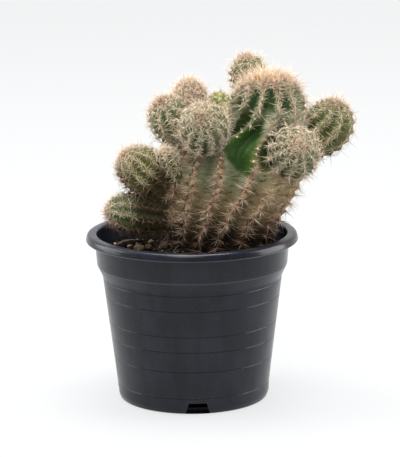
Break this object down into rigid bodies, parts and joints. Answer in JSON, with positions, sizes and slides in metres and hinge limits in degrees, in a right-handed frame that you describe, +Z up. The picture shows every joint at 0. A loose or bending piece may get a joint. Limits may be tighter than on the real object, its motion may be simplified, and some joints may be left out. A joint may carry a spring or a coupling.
{
  "type": "potted lobivia",
  "caption": "Clustering ribbed and spiny lobivia cactus with round offsets, leaning from the soil of a round black plastic nursery pot.",
  "frame": {"origin": "centre of the pot's flat foot, on the surface it stands on", "axes": "+Z up along the pot's axis; -Y is the front that the picture shows, with the stem leaning towards +X"},
  "size_m": [0.135, 0.105, 0.1704],
  "materials": {
    "pot_plastic": "black moulded plastic, satin with fine scuffs",
    "potting_soil": "dark bark and fibre potting mix",
    "stem_skin": "corky tan skin, green above, with pale tan spines",
    "offset_skin": "grey-green skin with cream and tan spines",
    "pale_grit": "rough pale grains",
    "dry_leaf": "dark dry leaf"
  },
  "bodies": {
    "root": {"pot": "pot_plastic", "soil": "potting_soil", "main_stem": "stem_skin", "offset_front_left": "offset_skin", "offset_front_right": "offset_skin", "offset_left": "offset_skin", "offset_right": "offset_skin", "offset_low_left": "offset_skin", "offset_rim_left": "offset_skin", "offset_top_rear": "offset_skin", "offset_left_rear": "offset_skin", "offset_low_left_small": "offset_skin", "offset_rear_small": "offset_skin", "grit_1": "pale_grit", "grit_2": "pale_grit", "grit_3": "pale_grit", "grit_4": "pale_grit", "grit_5": "pale_grit", "dry_leaf": "dry_leaf"}
  },
  "joints": []
}
